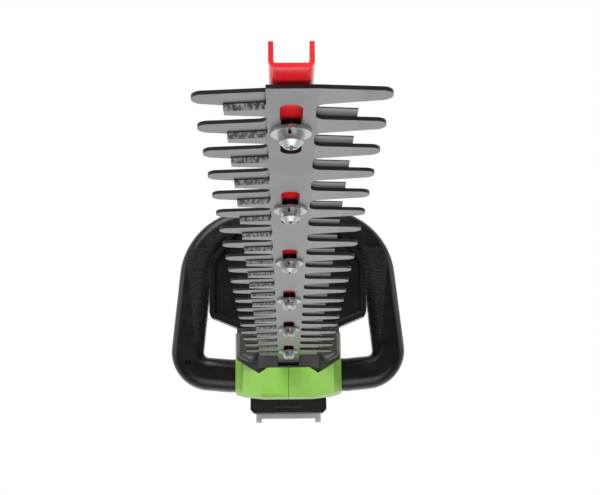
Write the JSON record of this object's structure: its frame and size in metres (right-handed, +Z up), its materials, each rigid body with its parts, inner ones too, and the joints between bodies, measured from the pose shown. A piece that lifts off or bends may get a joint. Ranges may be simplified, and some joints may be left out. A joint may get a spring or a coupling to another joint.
{
  "type": "hedge trimmer",
  "caption": "Cordless hedge trimmer with twin reciprocating toothed blades on a red channel bar, green front housing, hand guard, loop handle, rear grip and slide-in battery.",
  "frame": {"origin": "in the middle of the flat foot of the chin, 41 mm in front of the crank axis", "axes": "+Z up, the blades point along -Y, +X to the right as seen from in front of the tip"},
  "size_m": [0.2488, 1.0275, 0.222],
  "materials": {
    "blade_steel": "ground and brushed",
    "red_paint": "gloss red paint",
    "zinc": "bright zinc plate",
    "black_oxide": "black oxide",
    "cast_alloy": "die cast",
    "bearing_steel": "polished",
    "gear_steel": "machined",
    "motor_iron": "laminated",
    "green_plastic": "satin lime green",
    "gloss_black": "satin black",
    "grip_black": "stippled black",
    "black_plastic": "fine texture black",
    "grey_plastic": "moulded grey",
    "board": "green laminate",
    "brass": "plain",
    "cell_wrap": "wrapped cells",
    "spring_steel": "plain"
  },
  "bodies": {
    "housing": {"support_bar": "red_paint", "blade_screws": "zinc", "blade_flat_washers": "zinc", "blade_spring_washers": "zinc", "blade_bushes": "black_oxide", "blade_nuts": "zinc", "gear_case_lower": "cast_alloy", "gear_case_upper": "cast_alloy", "gear_case_screws": "zinc", "bar_screws": "zinc", "crank_bearing_lower": "bearing_steel", "crank_bearing_upper": "bearing_steel", "motor_bearing_lower": "bearing_steel", "motor_bearing_upper": "bearing_steel", "motor_stator": "motor_iron", "motor_can": "motor_iron", "front_housing_left": "green_plastic", "front_housing_right": "green_plastic", "front_bumper": "gloss_black", "housing_screws": "black_oxide", "loop_handle_front": "grip_black", "loop_handle_rear": "grip_black", "loop_handle_screws": "black_oxide", "hand_guard": "gloss_black", "guard_screws": "black_oxide", "body_left": "black_plastic", "body_right": "black_plastic", "trigger_pin": "gear_steel", "trigger_spring": "spring_steel", "lock_spring": "spring_steel", "switch_module": "black_plastic", "controller_board": "board", "terminal_block": "black_plastic"},
    "crank": {"crank_shaft": "gear_steel", "drive_gear": "gear_steel"},
    "motor": {"motor_pinion": "gear_steel", "motor_shaft": "gear_steel", "motor_rotor": "motor_iron", "motor_fan": "black_plastic"},
    "lower_blade": {"blade_lower": "blade_steel"},
    "upper_blade": {"blade_upper": "blade_steel"},
    "trigger": {"trigger": "black_plastic"},
    "lock_button": {"lock_button": "green_plastic"},
    "battery": {"battery_base": "grey_plastic", "battery_case": "black_plastic", "battery_contacts": "brass", "battery_cells": "cell_wrap", "latch_spring": "spring_steel"},
    "latch": {"battery_latch": "grey_plastic"}
  },
  "joints": [
    {"name": "crank_turn", "type": "hinge", "parent": "housing", "child": "crank", "pos_m": [0, 0.041, 0.0435], "axis": [0, 0, 1], "range_deg": [-90, 90]},
    {"name": "lower_blade_stroke", "type": "slide", "parent": "housing", "child": "lower_blade", "axis": [0, 1, 0], "range_m": [-0.0083, 0.0083]},
    {"name": "upper_blade_stroke", "type": "slide", "parent": "housing", "child": "upper_blade", "axis": [0, 1, 0], "range_m": [-0.0083, 0.0083]},
    {"name": "motor_turn", "type": "hinge", "parent": "housing", "child": "motor", "pos_m": [0, 0.074, 0.0835], "axis": [0, 0, 1], "range_deg": [-406, 406]},
    {"name": "trigger_squeeze", "type": "hinge", "parent": "housing", "child": "trigger", "pos_m": [0, 0.143, 0.1325], "axis": [1, 0, 0], "range_deg": [0, 8], "stiffness_Nm_per_rad": 2, "springref_deg": -5.73, "deforming": ["trigger_spring"]},
    {"name": "lock_press", "type": "slide", "parent": "housing", "child": "lock_button", "axis": [0, 0, -1], "range_m": [0, 0.0035], "stiffness_N_per_m": 800, "springref_m": -0.001, "deforming": ["lock_spring"]},
    {"name": "battery_slide", "type": "slide", "parent": "housing", "child": "battery", "axis": [0, 1, 0], "range_m": [0, 0.16]},
    {"name": "latch_press", "type": "slide", "parent": "battery", "child": "latch", "axis": [0, 0, -1], "range_m": [0, 0.004], "stiffness_N_per_m": 900, "springref_m": -0.001, "deforming": ["latch_spring"]}
  ],
  "couplings": [
    {"joint": "lower_blade_stroke", "follows": "crank_turn", "m_per_rad": 0.0052521},
    {"joint": "upper_blade_stroke", "follows": "crank_turn", "m_per_rad": -0.0052521},
    {"joint": "motor_turn", "follows": "crank_turn", "ratio": -4.5}
  ]
}
